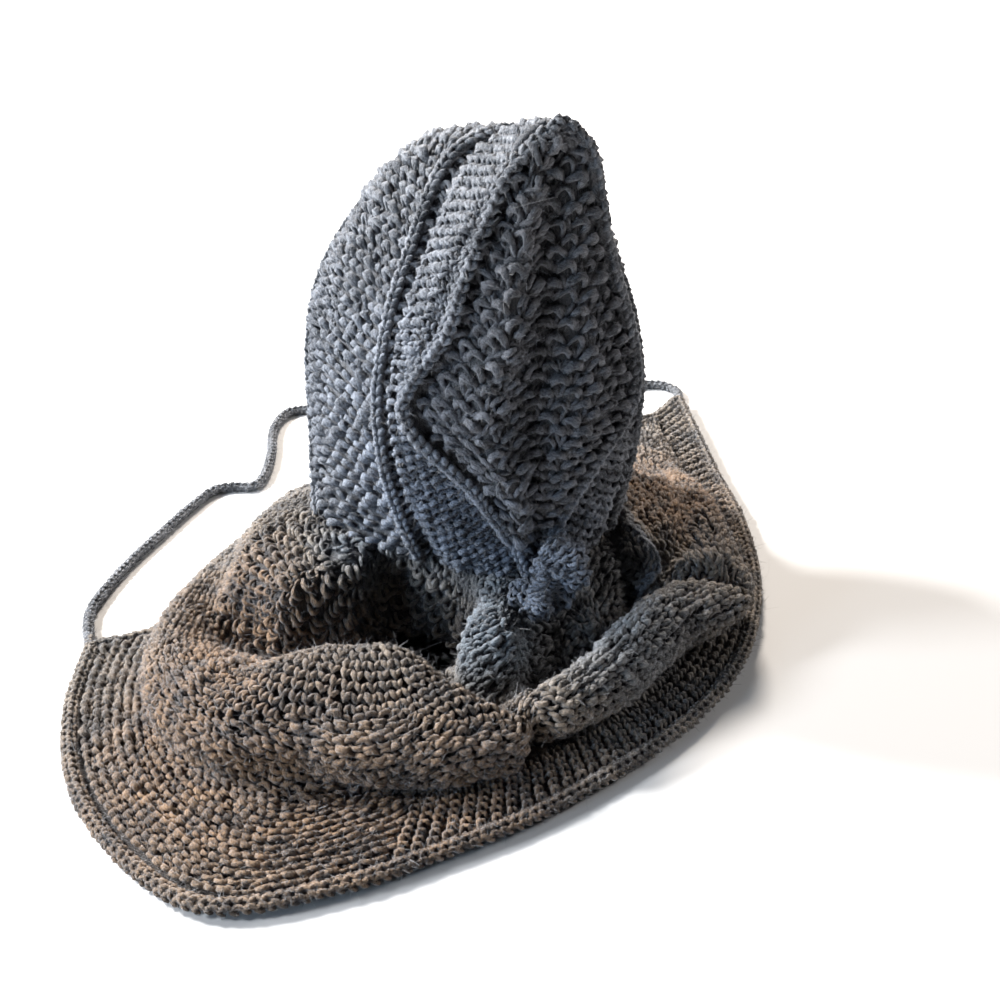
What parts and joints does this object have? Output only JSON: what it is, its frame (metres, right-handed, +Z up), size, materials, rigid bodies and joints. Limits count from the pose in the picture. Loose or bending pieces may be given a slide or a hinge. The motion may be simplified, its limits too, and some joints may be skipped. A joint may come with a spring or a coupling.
{
  "type": "hooded scarf",
  "caption": "Hand-knitted hooded scarf in thick charcoal wool: a pointed hood over the head and a short gathered cape round the neck and shoulders, tied in front",
  "frame": {"origin": "Inside of the crown, over the middle of the neck, where the wearer's head carries the hood", "axes": "+Z up, +Y the way the wearer faces, +X to the wearer's right"},
  "size_m": [0.5496, 0.6053, 0.3788],
  "materials": {
    "wool": "matte, hairy wool",
    "wool_deep": "matte, hairy wool",
    "wool_warm": "matte, hairy wool"
  },
  "bodies": {
    "root": {"hood_face_border": "wool", "hood_moss_band": "wool", "hood_seam_ridge": "wool", "hood_wedge_panel": "wool", "hood_gusset_ridge": "wool", "hood_back_gusset": "wool_deep", "nape_gather": "wool", "cape_body": "wool_warm", "cape_rib_band": "wool_warm", "cape_edge_border": "wool", "tie_left": "wool", "tie_right": "wool"}
  },
  "joints": []
}
